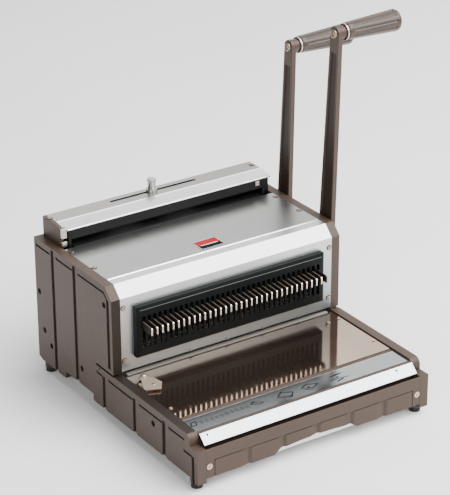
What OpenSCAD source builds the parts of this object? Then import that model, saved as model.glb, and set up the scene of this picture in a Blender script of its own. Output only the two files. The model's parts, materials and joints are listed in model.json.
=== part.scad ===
// Twin-loop wire punch and closing machine with two hand levers.
// Origin: centre of the four feet, at floor level. +X right, +Y to the rear, +Z up.
// Y = 0 is also the front face of the upper body.

/* [Casing] */
// Width across the two side plates
body_w = 376; // [372:1:380]
// Height of the upper body above the floor
body_h = 205.5; // [203:0.5:208]
// Depth of the upper body, front face to rear face
body_d = 210; // [208:1:214]
// How far the base reaches in front of the upper body
base_reach = 207.8; // [204:0.2:212]
// Height of the base's side plates
base_top = 76.4; // [76:0.2:77]
// Thickness of a cast side plate
side_t = 13.7; // [13.5:0.1:14.5]
// Chamfer between the front face and the top
fold = 16; // [14:1:18]
// Sheet metal thickness
sheet_t = 1.5; // [1.2:0.1:1.5]
// Depth of the cast steps in the side plates
relief = 3; // [2:0.2:3.4]

/* [Paper table] */
// Front edge of the mirror panel, in front of the upper body
mirror_reach = 141; // [130:1:146]
// Thickness of the mirror panel
mirror_t = 1.2; // [0.8:0.1:1.2]
// Height of the paper throat
throat_h = 5.4; // [5:0.1:5.6]

/* [Hooks and punches] */
// Punches, counted from the left end of the row
punch_n = 34; // [30:1:35]
// Thickness of a hook plate
hook_t = 2; // [1.6:0.1:2.4]
// How far the hooks stand out of the front face
hook_reach = 30.8; // [24:0.4:32]
// Width of a slot in the hook frame
slot_w = 4.5; // [4:0.1:5]
// Side of a square punch
punch_w = 4; // [3.6:0.1:4]
// How far the punches stand above the guide plate's floor at rest
punch_lift = 2; // [1.5:0.5:2.5]

/* [Levers] */
// Pivot to grip axis
lever_len = 360; // [340:5:380]
// Thickness of a lever
lever_t = 7.5; // [6:0.5:8]
// Forward lean of the punch lever at rest, degrees
punch_lean = 2.9; // [0:0.1:4]
// Forward lean of the closing lever at rest, degrees
closing_lean = 2.5; // [0:0.1:4]
// Length of a grip
grip_len = 89; // [80:1:95]
// Grip radius at its outer end
grip_r = 15.6; // [14:0.2:16]

/* [Wire closer] */
// Opening between the jaws
jaw_gap = 10; // [9:0.5:10]
// Half length of the slot for the size knob
size_slot = 71.5; // [68:0.5:74]

/* [Waste drawer] */
// Width of the drawer front
drawer_w = 322; // [316:1:322]
// Depth of the tray, front to rear
drawer_d = 228; // [200:2:228]

/* [Hidden] */
eps = 0.5;
round_fn = 64;
pitch = 25.4 / 3;

// casing
half_w = body_w / 2;
inner = half_w - side_t;
under = 15;
leg_z = 6.5;
leg_r = 8.7;
blind = inner + 9.2;
foot_r = 8;
foot_x = 179;
foot_y = 191.5;
block_y = -189;
block_top = 59.7;
block_foot = 11;
shelf_z = 46;
table_front = -187;
nose_r = 10.4;
arch_y = [56.5, 133];
arch_z = 25.5;
heel = [10, 3.5];
pan_z = 15.5;
pan_top = 17;
seam_y = 31.4;
seam_gap = 0.4;
cover_rear = 147;
sheet_foot = 80;
edge_flange = 8;

// paper table and throat
table_z = base_top - 3;
die_top = table_z + mirror_t;
guide_z = die_top + throat_h;
die_y = [3, 28];
die_t = 10;
stop_y = 15;
punch_y = 9;
label_y = [-182, -148];
label_t = 0.4;
rail_top = die_top + 0.6;
rail_front = -3.4;
mirror_rear = -6.8;

// hook frame
frame_x = 155;
frame_z = [99, 174.5];
frame_d = 10;
frame_wall = 3;
slot_n = 35;
slot_z = [112.5, 159.5];
hook_z = [139.3, 149.8];
rack_y = [4, 8.5];
rack_z = [132, 156];

// punch drive
punch_axis = [39.5, 124];
shaft_r = 7;
bush_r = 10;
bush_wall = 2;
run_fit = 0.05;
cam_r = 17;
cam_e = 7;
cam_phase = 140;
cam_play = 0.4;
cam_c = punch_axis + cam_e * [cos(cam_phase), sin(cam_phase)];
yoke_x = [158, 164];
yoke_y = [10, 58];
yoke_z = [100, 152];
bar_y = [4, 14];
bar_h = 12;
pin_z = guide_z + punch_lift;
spring_r = 5;
spring_wire = 1;
spring_turns = 7;
seat_y = 42;
seat_z = 70;

// closing drive
closing_axis = [145.6, 73];
crank_r = 33.4;
crank_x = [152, 158];
crank_pin_r = 4;
crank_pin = closing_axis - [crank_r, 0];
rod_x = [160, 164.5];
jaw_z = body_h + jaw_gap;
jaw_top = 229;
jaw_y = [152, 166];
jaw_end_x = [147, 154];
jaw_end_z = [221, 228];
bracket_front = 158;
lower_jaw_y = [147.5, 169.5];
rod_foot_z = 60;
post_top = 30;

// closer cover
cover_z = 234.6;
cover_y = [153, 177, 206.6];
lip_z = 231;
hem_r = 1.2;
bracket_t = 5.9;
slot_y = 195;
size_slot_w = 5.4;
slide_gap = 0.2;
knob_x = -2.8;
stud_r = 1.9;
collar_r = 8;
collar_h = 4;
knob_r = 6.45;
knob_waist = 5.6;
knob_h = 15;

// levers
lever_gap = 0.5;
lever_x = half_w + lever_gap;
boss_r = 18;
eye_r = 10;
root_half = 16;
tip_half = 9.6;
web_depth = 1.8;
flange_front = 3.5;
flange_rear = 4;
spindle_r = 5;
neck_r = 9.3;
collar_big = 11.8;
nut_r = 6.4;
nut_t = 3;
collar_x = [lever_x + lever_t, lever_x + lever_t + 10];
grip_x = collar_x[1] + 0.4;
grip_inner_r = 12.2;
groove_n = 10;
groove_r = 2.6;
groove_deep = 0.9;

// drawer
drawer_z = [17, 41];
tray_x = 158;
tray_z = [18, 40];
tray_front = -204;
flute_n = 5;
flute_pitch = 55.3;
flute = [-10, 3.3, 6.8];
flute_d = 2.7;
notch = [[-68, 0], [-57, 6.2], [-30, 8.3], [0, 9.4], [30, 8.3], [57, 6.2], [68, 0]];

// screw places
tie_rod_yz = [[200.5, 124], [171.6, 49], [86.2, 51], [-100, 52]];
side_screw_yz = concat(tie_rod_yz, [[189.6, 66.8], [20, 176.6]]);
tie_rod_r = 5;
corner_x = half_w - 18;
sheet_screw_z = [175, 96];
top_screw_y = [133, 74];
panel_screw = [169.4, 33.5];
closer_screw_y = 194;
table_screw_xy = [[149, -31], [168, -29], [168, -110], [-168, -113]];
sheet_head = [3, 1.3, 1.5, 1.5];
panel_head = [4.3, 1.8, 2, 5];
panel_bore = 4.8;
side_head = [3.9, 2, 2, 5];
side_bore = [4.4, 5.2];
table_head = [2.5, 1, 1.2, mirror_t + sheet_t];

// upright steps of a side plate: [Y where it is deepest, lowest Z, highest Z, run toward the front]
side_steps = [
    [163, 0, 203, 11], [103.3, 0, 203, 12], [30.3, 0, 65, 10.3], [-49, 0, 68, 10.5],
    [-122.5, 0, 68, 12.5], [13.6, 84, 187, 8.3], [-193.3, 0, 48.5, 8.4]
];
// soft grooves along the panel tops: [rear end, front end, Z of the lower edge]
top_grooves = [
    [205, 166, 193.5], [149, 104, 193.5], [88, 21, 193.5], [14.4, -48, 62.8],
    [-65, -122, 62.8], [-138, -176, 62.8], [-174.5, -193.3, 46.5], [45, 31, 62.8]
];
groove_h = 4.5;
groove_d = 2;
slit = [[-1, 46.7], [75.2, 78.4], 9];
bend_c = [46, 75.5];
bend_r = 12.7;

brown = [0.46, 0.41, 0.37];
steel = [0.78, 0.78, 0.78];
dark = [0.12, 0.13, 0.13];
bright = [0.9, 0.9, 0.92];

function arc(c, r, a0, a1, n) =
    [for (i = [0 : n]) let (a = a0 + (a1 - a0) * i / n) c + r * [cos(a), sin(a)]];

function slot_x(i) = i * pitch;

// X places of the slots, which all hold a hook, and of the punches
slot_xs = [for (i = [0 : slot_n - 1]) slot_x(i - (slot_n - 1) / 2)];
punch_xs = [for (i = [0 : punch_n - 1]) slot_xs[i]];

// upright outline in Y and Z, thick along X from x
module yz(x, t) {
    translate([x, 0, 0]) rotate([90, 0, 90]) linear_extrude(t) children();
}

// block between two corners
module slab(x, y, z) {
    translate([x[0], y[0], z[0]]) cube([x[1] - x[0], y[1] - y[0], z[1] - z[0]]);
}

// rod along X through [y, z]
module rod(x, c, r) {
    translate([x[0], c[0], c[1]]) rotate([0, 90, 0])
        cylinder(h = x[1] - x[0], r = r, $fn = round_fn);
}

// the same thing at both ends of the machine
module both_sides() {
    children();
    mirror([1, 0, 0]) children();
}

// screw with its head above z = 0: h = [head radius, head height, shank radius, shank length]
module screw(h) {
    cylinder(h = h[1], r = h[0], $fn = 32);
    translate([0, 0, -h[3]]) cylinder(h = h[3], r = h[2], $fn = 32);
}

// hole for a screw's shank, cut down from z = 0
module screw_hole(h) {
    translate([0, 0, -h[3] - eps]) cylinder(h = h[3] + 2 * eps, r = h[2], $fn = 32);
}

module at_front_screws() {
    for (z = sheet_screw_z, s = [-1, 1])
        translate([s * corner_x, 0, z]) rotate([90, 0, 0]) children();
}

module at_top_screws() {
    for (y = top_screw_y, s = [-1, 1])
        translate([s * corner_x, y, body_h]) children();
}

module at_table_screws() {
    for (p = table_screw_xy) translate([p[0], p[1], die_top]) children();
}

module at_closer_screws() {
    for (s = [-1, 1]) translate([s * corner_x, closer_screw_y, cover_z]) children();
}

// helical spring standing on z = 0, swept along its turns
module coil(r, wire, turns, h) {
    sides = 8;
    steps = 16 * turns;
    rise = h - 2 * wire;
    pts = [for (i = [0 : steps]) let (a = 360 * turns * i / steps)
        for (k = [0 : sides - 1]) let (b = 360 * k / sides, d = r + wire * cos(b))
            [d * cos(a), d * sin(a), wire + rise * i / steps + wire * sin(b)]];
    walls = [for (i = [0 : steps - 1], k = [0 : sides - 1]) let (n = (k + 1) % sides)
        [i * sides + k, i * sides + n, (i + 1) * sides + n, (i + 1) * sides + k]];
    polyhedron(points = pts, convexity = 10, faces = concat(
        walls,
        [[for (k = [sides - 1 : -1 : 0]) k]],
        [[for (k = [0 : sides - 1]) steps * sides + k]]));
}

// ---- side plates ----

module side_outline() {
    polygon(concat(
        [[-base_reach, block_foot], [-base_reach, block_top], [block_y, block_top]],
        arc([block_y + nose_r, base_top - nose_r], nose_r, 180, 90, 8),
        [[0, base_top], [0, body_h - fold], [fold, body_h], [body_d, body_h],
         [body_d, under + heel[1]], [body_d - heel[0], under],
         [arch_y[1], under], [arch_y[1], arch_z], [arch_y[0], arch_z],
         [arch_y[0], under], [block_y, under], [block_y, block_foot]]));
}

// upright cut with a sharp rear edge and a floor that rises toward the front
module side_step(p) {
    translate([0, 0, p[1]]) linear_extrude(p[2] - p[1])
        polygon([[half_w + eps, p[0]], [half_w - relief, p[0]], [half_w, p[0] - p[3]],
            [half_w + eps, p[0] - p[3]]]);
}

// level cut that is deepest along its lower edge
module top_groove(g) {
    translate([0, g[0], 0]) rotate([90, 0, 0]) linear_extrude(g[0] - g[1])
        polygon([[half_w + eps, g[2]], [half_w - groove_d, g[2]], [half_w, g[2] + groove_h],
            [half_w + eps, g[2] + groove_h]]);
}

// bends that join the level cuts to the upright ones
module corner_grooves() {
    depth = groove_d / 2;
    yz(half_w - depth, side_t) {
        polygon([[21, 193.5], [21, 198], [9, 187], [13.6, 187]]);
        polygon(concat(arc(bend_c, bend_r, -90, -190, 12), arc(bend_c, bend_r - 4.2, -190, -90, 12)));
    }
}

// right-hand plate; bore_to is how far out the two shaft bores run
module side_plate(bore_to) {
    difference() {
        union() {
            yz(inner, side_t) side_outline();
            for (s = [-1, 1])
                translate([foot_x, s * foot_y, leg_z])
                    cylinder(h = under - leg_z, r = leg_r, $fn = round_fn);
        }
        for (p = side_steps) side_step(p);
        for (g = top_grooves) top_groove(g);
        corner_grooves();
        slab([half_w - slit[2], half_w + eps], slit[0], slit[1]);
        for (c = [punch_axis, closing_axis]) rod([inner - eps, bore_to], c, bush_r);
        for (c = side_screw_yz) {
            rod([half_w - side_bore[1], half_w + eps], c, side_bore[0]);
            rod([half_w - side_bore[1] - side_head[3], half_w], c, side_head[2]);
        }
    }
}

module left_side_plate() { color(brown) mirror([1, 0, 0]) side_plate(blind); }

module right_side_plate() { color(brown) side_plate(half_w + eps); }

module shaft_bushes() {
    color("goldenrod") for (c = [punch_axis, closing_axis], s = [0, 1]) mirror([s, 0, 0])
        difference() {
            union() {
                rod([inner, s == 1 ? blind : half_w], c, bush_r);
                rod([inner - bush_wall, inner], c, bush_r + bush_wall);
            }
            rod([inner - 2 * bush_wall, half_w + eps], c, shaft_r + run_fit);
        }
}

module tie_rods() { color(steel) for (c = tie_rod_yz) rod([-inner, inner], c, tie_rod_r); }

module side_screws() {
    seat = half_w - side_bore[1];
    color(bright) both_sides() for (c = side_screw_yz)
        translate([seat, c[0], c[1]]) rotate([0, 90, 0]) screw(side_head);
}

module rubber_feet() {
    color(dark) for (x = [-foot_x, foot_x], y = [-foot_y, foot_y])
        translate([x, y, 0]) cylinder(h = leg_z, r = foot_r, $fn = round_fn);
}

// ---- base ----

module base_pan() {
    post_half = 6;
    rod_mid = (rod_x[0] + rod_x[1]) / 2;
    post_y = closing_axis[0] - crank_r;
    color(steel) {
        slab([-inner, inner], [tray_front + 4, body_d - sheet_t], [pan_z, pan_top]);
        both_sides() slab([rod_mid - post_half, rod_mid + post_half],
            [post_y - post_half, post_y + post_half], [pan_top, post_top]);
    }
}

module front_panel() {
    clear = 1;
    opening = drawer_w / 2 + clear;
    color(brown) difference() {
        union() {
            slab([-inner, inner], [-base_reach, -base_reach + sheet_t], [pan_top, block_top]);
            slab([-inner, inner], [-base_reach + sheet_t, table_front + sheet_t],
                [shelf_z, shelf_z + sheet_t]);
        }
        slab([-opening, opening], [-base_reach - eps, -base_reach + 2 * sheet_t],
            [pan_top - eps, drawer_z[1] + clear]);
        for (s = [-1, 1]) translate([s * panel_screw[0], -base_reach, panel_screw[1]])
            rotate([90, 0, 0]) translate([0, 0, -panel_head[1] - eps])
                cylinder(h = panel_head[1] + 2 * eps, r = panel_bore, $fn = 32);
    }
}

module panel_screws() {
    color(bright) for (s = [-1, 1])
        translate([s * panel_screw[0], -base_reach + panel_head[1], panel_screw[1]])
            rotate([90, 0, 0]) screw(panel_head);
}

module rear_cover() {
    flange_y = 170;
    color(brown) {
        slab([-inner, inner], [body_d - sheet_t, body_d], [pan_top, body_h]);
        slab([-inner, inner], [flange_y, body_d - sheet_t], [body_h - sheet_t, body_h]);
    }
}

module drawer_rails() {
    gap = 0.6;
    width = 3;
    color(steel) both_sides()
        slab([tray_x + gap, tray_x + gap + width], [-180, 30], [pan_top, 26]);
}

// ---- waste drawer ----

module waste_tray() {
    y = [tray_front, tray_front + drawer_d];
    color("dimgray") difference() {
        slab([-tray_x, tray_x], y, tray_z);
        slab([-tray_x + sheet_t, tray_x - sheet_t], [y[0] + sheet_t, y[1] - sheet_t],
            [tray_z[0] + sheet_t, tray_z[1] + eps]);
    }
}

// face with five upright flutes, each with a long and a short flank, and a finger notch below
module drawer_front() {
    color(brown) difference() {
        slab([-drawer_w / 2, drawer_w / 2], [-base_reach, tray_front], drawer_z);
        for (i = [0 : flute_n - 1])
            translate([(i - (flute_n - 1) / 2) * flute_pitch, -base_reach, drawer_z[0] - eps])
                linear_extrude(drawer_z[1] - drawer_z[0] + 2 * eps)
                    polygon([[flute[0], -eps], [flute[0], 0], [flute[1], flute_d], [flute[2], 0],
                        [flute[2], -eps]]);
        translate([0, tray_front + eps, drawer_z[0]]) rotate([90, 0, 0])
            linear_extrude(2 * (base_reach + tray_front))
                polygon(concat([[notch[0][0], -eps]], notch, [[-notch[0][0], -eps]]));
    }
}

// ---- upper body sheets ----

module front_sheet() {
    bend = sheet_t * tan(22.5);
    rear = seam_y - seam_gap / 2;
    lug = [4, 1.2, 4];
    lug_pitch = 60.2;
    window = [150, 108, 164];
    color(steel) difference() {
        union() {
            yz(-inner, 2 * inner) polygon([[0, sheet_foot], [0, body_h - fold], [fold, body_h],
                [rear, body_h], [rear, body_h - sheet_t], [fold + bend, body_h - sheet_t],
                [sheet_t, body_h - fold - bend], [sheet_t, sheet_foot]]);
            for (i = [-1 : 2])
                translate([i * lug_pitch - lug[0] - 1, -lug[1], sheet_foot]) cube(lug);
        }
        slab([-window[0], window[0]], [-eps, sheet_t + eps], [window[1], window[2]]);
        at_front_screws() screw_hole(sheet_head);
    }
}

module top_cover() {
    color(steel) difference() {
        union() {
            slab([-inner, inner], [seam_y + seam_gap / 2, cover_rear],
                [body_h - sheet_t, body_h]);
            slab([-inner, inner], [cover_rear - sheet_t, cover_rear],
                [body_h - edge_flange, body_h - sheet_t]);
        }
        at_top_screws() screw_hole(sheet_head);
    }
}

module cover_screws() {
    color(bright) {
        at_front_screws() screw(sheet_head);
        at_top_screws() screw(sheet_head);
    }
}

module badge() { color("firebrick") slab([-18, 20], [40, 66], [body_h, body_h + 0.4]); }

// ---- hooks ----

// moulded grille, with a dummy hook on its right rim
module hook_frame() {
    bevel = [2, 5];
    rim = 6;
    shoulder = bevel[0] - frame_d;
    color(dark) difference() {
        intersection() {
            yz(-frame_x, 2 * frame_x) polygon([[0, frame_z[0]], [shoulder, frame_z[0]],
                [-frame_d, frame_z[0] + bevel[0]], [-frame_d, frame_z[1] - bevel[1]],
                [shoulder, frame_z[1]], [0, frame_z[1]]]);
            linear_extrude(frame_z[1] + 1) polygon([[-frame_x, 0], [-frame_x, shoulder],
                [bevel[1] - frame_x, -frame_d], [frame_x - bevel[1], -frame_d],
                [frame_x, shoulder], [frame_x, 0]]);
        }
        slab([rim - frame_x, frame_x - rim], [frame_wall - frame_d, eps],
            [frame_z[0] + rim, frame_z[1] - rim]);
        for (x = slot_xs)
            slab([x - slot_w / 2, x + slot_w / 2], [-frame_d - eps, frame_wall], slot_z);
    }
}

// plate of a hook centred on x, from the tip back to the rack bar
module hook(x) {
    tip = 1.2;
    rise = 1.5;
    root = rack_y[0];
    yz(x - hook_t / 2, hook_t) polygon([[-hook_reach, hook_z[0]],
        [-hook_reach, hook_z[1] - tip], [tip - hook_reach, hook_z[1]],
        [root, hook_z[1] + rise], [root, hook_z[0] - rise]]);
}

module wire_hooks() { color("tan") for (x = slot_xs) hook(x); }

module hook_rack_bar() { color(steel) slab([-inner, inner], rack_y, rack_z); }

// ---- paper table ----

module paper_table() {
    color(brown) difference() {
        union() {
            slab([-inner, inner], [table_front, rail_front], [table_z - sheet_t, table_z]);
            slab([-inner, inner], [table_front, table_front + sheet_t],
                [shelf_z + sheet_t, table_z - sheet_t]);
        }
        at_table_screws() screw_hole(table_head);
    }
}

module mirror_panel() {
    color("rosybrown") difference() {
        slab([-inner, inner], [-mirror_reach, mirror_rear], [table_z, die_top]);
        at_table_screws() screw_hole(table_head);
    }
}

module table_screws() { color(bright) at_table_screws() screw(table_head); }

module instruction_label() {
    color("lightgray") slab([-inner, inner], label_y, [table_z, table_z + label_t]);
}

module table_trim() {
    strip_x = 173;
    t = 1.2;
    top = -189.5;
    foot_z = 67;
    lip = [-201.5, 62.8];
    color(bright) yz(-strip_x, 2 * strip_x) polygon([[top, table_z + t], lip,
        [lip[0], lip[1] - t], [lip[0] + t, lip[1] - t], [lip[0] + t, lip[1] - t / 2],
        [top - t, table_z - t / 2], [top - t, foot_z], [table_front, foot_z],
        [table_front, foot_z + t], [top, foot_z + t]]);
}

module paper_rail() {
    rail_h = 6;
    color(bright) slab([-167, 167], [rail_front, die_y[0]], [rail_top - rail_h, rail_top]);
}

// edge guide that slides across the table: a foot, a shaped plate over it, a button and a screw
guide_foot = die_top + 0.2;
guide_step = 2.4;
guide_t = 1.8;
guide_head = [2.2, 0.9, 1.2, guide_t + guide_step];
guide_hole = [-156, -51];
button_xy = [-156, -25];
button_r = 4;

module edge_guide() {
    foot_x0 = -171;
    plate = [[-173.6, -55], [-169, -59.5], [-153, -65.5], [-143, -51.5], [-146, -33], [-150, -30],
        [-150, -21], [-162, -21], [-164, -33], [-170, -45]];
    color("peru") difference() {
        union() {
            slab([foot_x0, guide_hole[0] + 8], [-56, -36], [guide_foot, guide_foot + guide_step]);
            translate([0, 0, guide_foot + guide_step]) linear_extrude(guide_t) polygon(plate);
        }
        at_guide(guide_hole) screw_hole(guide_head);
    }
}

// children stand on the guide's plate
module at_guide(p) {
    translate([p[0], p[1], guide_foot + guide_step + guide_t]) children();
}

// button and screw of the guide
module guide_fittings() {
    dome = 1.2;
    color(bright) {
        at_guide(button_xy) {
            cylinder(h = 2 * dome, r = button_r, $fn = 32);
            translate([0, 0, 2 * dome])
                cylinder(h = dome, r1 = button_r, r2 = button_r / 2, $fn = 32);
        }
        at_guide(guide_hole) screw(guide_head);
    }
}

// ---- punch ----

// square holes for the punches through a plate
module punch_holes(z) {
    hole = punch_w / 2 + 0.2;
    for (x = punch_xs)
        slab([x - hole, x + hole], [punch_y - hole, punch_y + hole], [z[0] - eps, z[1] + eps]);
}

module punch_die() {
    z = [die_top - die_t, die_top];
    ear = [150, 172, 56];
    color("slategray") {
        difference() {
            slab([-inner, inner], die_y, z);
            punch_holes(z);
        }
        both_sides() slab([ear[0], ear[1]], [die_y[1], ear[2]], [z[0], seat_z]);
    }
}

module guide_plate() {
    z = [guide_z, guide_z + die_t];
    color("slategray") difference() {
        slab([-inner, inner], die_y, z);
        punch_holes(z);
    }
}

module paper_stop() {
    color("gray") slab([-inner, inner], [stop_y, die_y[1]], [die_top, guide_z]);
}

module punch_bar() {
    color("lightsteelblue")
        slab([-yoke_x[0], yoke_x[0]], bar_y, [yoke_z[0], yoke_z[0] + bar_h]);
}

module punch_pins() {
    h = punch_w / 2;
    color("silver") for (x = punch_xs)
        slab([x - h, x + h], [punch_y - h, punch_y + h], [pin_z, yoke_z[0]]);
}

module punch_yokes() {
    side = 1;
    far = cam_c[0] + cam_r + side;
    near = punch_axis[0] - cam_e - cam_r - side;
    reach = cam_r + cam_play;
    color("lightsteelblue") both_sides() difference() {
        slab(yoke_x, yoke_y, yoke_z);
        slab([yoke_x[0] - eps, yoke_x[1] + eps], [near, far],
            [cam_c[1] - reach, cam_c[1] + reach]);
    }
}

module punch_cams() {
    x = [yoke_x[0] - 1, yoke_x[1] + 1];
    color("gold") both_sides() difference() {
        rod(x, cam_c, cam_r);
        rod([x[0] - eps, x[1] + eps], punch_axis, shaft_r);
    }
}

// shaft from its blind bush on the left to its washer outside the lever
module cross_shaft(c) {
    washer = [11, 4];
    rod([eps - blind, lever_x + lever_t], c, shaft_r);
    rod([lever_x + lever_t, lever_x + lever_t + washer[1]], c, washer[0]);
}

module punch_shaft() { color(steel) cross_shaft(punch_axis); }

module punch_springs() {
    x = (yoke_x[0] + yoke_x[1]) / 2;
    color("gray") for (s = [-1, 1]) translate([s * x, seat_y, seat_z])
        coil(spring_r, spring_wire, spring_turns, yoke_z[0] - seat_z);
}

// ---- levers ----

// half width of a lever at height h above its pivot
function half_at(h) = root_half + (tip_half - root_half) * h / lever_len;

// lever plate standing up from its pivot at the origin
module lever_plate() {
    web = [40, lever_len - 28];
    difference() {
        union() {
            yz(0, lever_t) polygon([[-root_half, 0], [root_half, 0], [tip_half, lever_len],
                [-tip_half, lever_len]]);
            rod([0, lever_t], [0, 0], boss_r);
            rod([0, lever_t], [0, lever_len], eye_r);
        }
        yz(-eps, web_depth + eps) polygon([
            [flange_front - half_at(web[0]), web[0]], [half_at(web[0]) - flange_rear, web[0]],
            [half_at(web[1]) - flange_rear, web[1]], [flange_front - half_at(web[1]), web[1]]]);
        rod([-eps, lever_t + eps], [0, 0], shaft_r);
        rod([-eps, lever_t + eps], [0, lever_len], spindle_r);
    }
}

// children sit in the frame of a lever: pivot at the origin, grip axis lever_len above it
module on_lever(c, lean) {
    translate([0, c[0], c[1]]) rotate([lean, 0, 0]) children();
}

// spindle that the grip turns on, with its neck and collar against the lever
module spindle() {
    mid = collar_x[1] - 2.4;
    rod([lever_x, grip_x + grip_len - 6], [0, lever_len], spindle_r);
    rod([collar_x[0], mid], [0, lever_len], neck_r);
    rod([mid, collar_x[1]], [0, lever_len], collar_big);
}

module spindle_nut() { rod([lever_x - nut_t, lever_x], [0, lever_len], nut_r); }

// turned grip with lengthwise grooves and a rounded outer end
module grip() {
    end_r = 5;
    start = 8;
    taper = atan((grip_r - grip_inner_r) / grip_len);
    rise = grip_inner_r + start * tan(taper) + groove_r - groove_deep;
    difference() {
        translate([grip_x, 0, lever_len]) rotate([0, 90, 0]) rotate_extrude($fn = round_fn)
            polygon(concat([[0, 0], [grip_inner_r - 1.5, 0], [grip_inner_r, 1.5]],
                arc([grip_r - end_r, grip_len - end_r], end_r, 0, 90, 8), [[0, grip_len]]));
        rod([grip_x - eps, grip_x + grip_len - 5], [0, lever_len], spindle_r + run_fit);
        for (i = [0 : groove_n - 1]) translate([0, 0, lever_len]) rotate([360 / groove_n * i, 0, 0])
            translate([grip_x + start, 0, rise]) rotate([0, 90 - taper, 0])
                cylinder(h = grip_len - 2 * start, r = groove_r, $fn = 32);
    }
}

module punch_lever() {
    color(brown) on_lever(punch_axis, punch_lean) translate([lever_x, 0, 0]) lever_plate();
}

module punch_spindle() { color(steel) on_lever(punch_axis, punch_lean) spindle(); }

module punch_nut() { color(bright) on_lever(punch_axis, punch_lean) spindle_nut(); }

module punch_grip() { color("saddlebrown") on_lever(punch_axis, punch_lean) grip(); }

module closing_lever() {
    color(brown) on_lever(closing_axis, closing_lean) translate([lever_x, 0, 0]) lever_plate();
}

module closing_spindle() { color(steel) on_lever(closing_axis, closing_lean) spindle(); }

module closing_nut() { color(bright) on_lever(closing_axis, closing_lean) spindle_nut(); }

module closing_grip() { color("saddlebrown") on_lever(closing_axis, closing_lean) grip(); }

// ---- wire closer ----

module closing_shaft() { color(steel) cross_shaft(closing_axis); }

module closing_cranks() {
    hub = 13;
    web = 8;
    color("gold") both_sides() {
        difference() {
            union() {
                rod(crank_x, closing_axis, hub);
                rod(crank_x, crank_pin, web);
                slab(crank_x, [crank_pin[0], closing_axis[0]],
                    [closing_axis[1] - web, closing_axis[1] + web]);
            }
            rod([crank_x[0] - eps, crank_x[1] + eps], closing_axis, shaft_r);
        }
        rod([crank_x[1], rod_x[1] + 1], crank_pin, crank_pin_r);
    }
}

module pull_rods() {
    slot = [6.5, crank_pin_r + 0.3];
    foot = [100, 124];
    shoulder = [84, 150];
    color(bright) both_sides() difference() {
        yz(rod_x[0], rod_x[1] - rod_x[0]) polygon([[foot[0], rod_foot_z], [foot[1], rod_foot_z],
            [foot[1], shoulder[0]], [jaw_y[1], shoulder[1]], [jaw_y[1], jaw_top],
            [jaw_y[0], jaw_top], [jaw_y[0], shoulder[1] + 6], [foot[0], shoulder[0]]]);
        slab([rod_x[0] - eps, rod_x[1] + eps], [crank_pin[0] - slot[0], crank_pin[0] + slot[0]],
            [crank_pin[1] - slot[1], crank_pin[1] + slot[1]]);
    }
}

module closing_springs() {
    x = (rod_x[0] + rod_x[1]) / 2;
    color("gray") for (s = [-1, 1]) translate([s * x, crank_pin[0], post_top])
        coil(spring_r, spring_wire, spring_turns, rod_foot_z - post_top);
}

module upper_jaw() { color(dark) slab([-rod_x[0], rod_x[0]], jaw_y, [jaw_z, jaw_top]); }

module jaw_end() {
    color(bright) slab(jaw_end_x, [jaw_y[0] - sheet_t, jaw_y[0]], jaw_end_z);
}

// two stops on the left bracket, above and below the jaws' end
module jaw_stops() {
    x = [0.5 - inner, -rod_x[1] - 1.5];
    y = [bracket_front - 4.5, bracket_front];
    color(bright) {
        slab(x, y, [body_h, body_h + 8]);
        slab(x, y, [jaw_z + 3, cover_z - 2]);
    }
}

module closer_lower_jaw() {
    jaw_h = 12;
    color(dark) slab([-crank_x[1], crank_x[1]], lower_jaw_y, [body_h - jaw_h, body_h]);
}

module closer_bracket() {
    slope = (cover_z - lip_z) / (cover_y[1] - cover_y[0]);
    under_z = cover_z - sheet_t;
    yz(inner - bracket_t, bracket_t) polygon([[bracket_front, body_h],
        [cover_y[2] - sheet_t, body_h], [cover_y[2] - sheet_t, under_z], [cover_y[1], under_z],
        [bracket_front, under_z - slope * (cover_y[1] - bracket_front)]]);
}

module closer_bracket_right() { color("gray") closer_bracket(); }

module closer_bracket_left() { color(brown) mirror([1, 0, 0]) closer_bracket(); }

module closer_cover() {
    under_z = cover_z - sheet_t;
    rear = cover_y[2];
    color(steel) difference() {
        union() {
            yz(-inner, 2 * inner) polygon([[rear, body_h], [rear, cover_z], [cover_y[1], cover_z],
                [cover_y[0], lip_z], [cover_y[0], lip_z - sheet_t], [cover_y[1], under_z],
                [rear - sheet_t, under_z], [rear - sheet_t, body_h]]);
            rod([-inner, inner], [cover_y[0], lip_z - sheet_t / 2], hem_r);
        }
        slab([-inner - eps, -rod_x[1] - 1], [cover_y[0] - 2 * hem_r, bracket_front + 3],
            [lip_z - 2 * sheet_t, cover_z + eps]);
        slab([-size_slot, size_slot], [slot_y - size_slot_w / 2, slot_y + size_slot_w / 2],
            [under_z - eps, cover_z + eps]);
        at_closer_screws() screw_hole(sheet_head);
    }
}

module closer_screws() { color(bright) at_closer_screws() screw([3.2, 1.3, 1.5, sheet_t]); }

// children stand on the cover at the size knob's place
module at_knob(z) {
    translate([knob_x, slot_y, z]) children();
}

module slider_block() {
    size = [38, 16, 4.5];
    top = cover_z - sheet_t - slide_gap;
    color("gray") at_knob(top - size[2]) difference() {
        translate([-size[0] / 2, -size[1] / 2, 0]) cube(size);
        translate([0, 0, -eps])
            cylinder(h = size[2] + 2 * eps, r = stud_r + run_fit, $fn = 32);
    }
}

module slider_collar() {
    color(steel) at_knob(cover_z + slide_gap) difference() {
        cylinder(h = collar_h, r = collar_r, $fn = round_fn);
        translate([0, 0, -eps])
            cylinder(h = collar_h + 2 * eps, r = stud_r + run_fit, $fn = 32);
    }
}

module slider_knob() {
    foot = cover_z + collar_h + 2 * slide_gap;
    stud_len = 14;
    cap = 8;
    color(bright) at_knob(foot) {
        translate([0, 0, -stud_len]) cylinder(h = stud_len, r = stud_r, $fn = 32);
        rotate_extrude($fn = round_fn) polygon([[0, 0], [knob_waist, 0], [knob_waist, knob_h - cap],
            [knob_r, knob_h - cap + 1], [knob_r, knob_h - 1], [knob_r - 1, knob_h], [0, knob_h]]);
    }
}

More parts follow.
